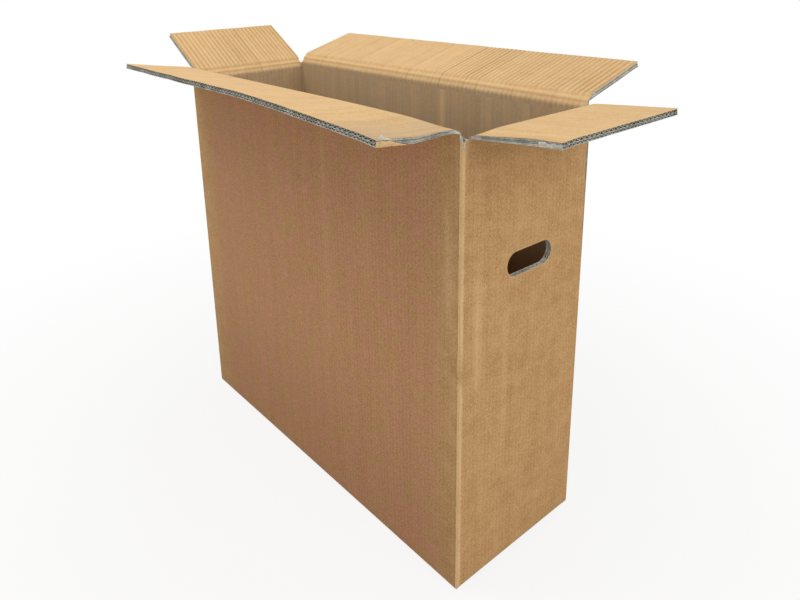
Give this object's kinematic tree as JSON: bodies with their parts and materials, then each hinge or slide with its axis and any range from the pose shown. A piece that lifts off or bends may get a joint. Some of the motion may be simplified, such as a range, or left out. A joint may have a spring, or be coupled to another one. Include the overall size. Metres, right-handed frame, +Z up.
{
  "type": "double wall corrugated box",
  "caption": "Tall narrow carton of double wall corrugated board, open at the top with hinged flaps folded outwards and a hand hole in each end panel.",
  "frame": {"origin": "centre of the base, on the underside of the long bottom flaps", "axes": "+Z up; +X along the length, towards the end panel with the glued joint; -Y towards the long panel shown at the front of the picture"},
  "size_m": [0.812, 0.4363, 0.6296],
  "materials": {
    "outer_kraft": "matt brown kraft liner",
    "liner_kraft": "matt pale kraft liner"
  },
  "bodies": {
    "box": {"box_body": "outer_kraft"},
    "front_flap": {"front_flap": "liner_kraft"},
    "back_flap": {"back_flap": "liner_kraft"},
    "right_flap": {"right_flap": "liner_kraft"},
    "left_flap": {"left_flap": "liner_kraft"}
  },
  "joints": [
    {"name": "front_flap_hinge", "type": "hinge", "parent": "box", "child": "front_flap", "pos_m": [0, -0.1105, 0.575], "axis": [-1, 0, 0], "range_deg": [-89, 171]},
    {"name": "back_flap_hinge", "type": "hinge", "parent": "box", "child": "back_flap", "pos_m": [0, 0.1105, 0.575], "axis": [1, 0, 0], "range_deg": [-96, 164]},
    {"name": "right_flap_hinge", "type": "hinge", "parent": "box", "child": "right_flap", "pos_m": [0.305, 0, 0.5675], "axis": [0, -1, 0], "range_deg": [-85, 175]},
    {"name": "left_flap_hinge", "type": "hinge", "parent": "box", "child": "left_flap", "pos_m": [-0.305, 0, 0.5675], "axis": [0, 1, 0], "range_deg": [-111, 149]}
  ]
}
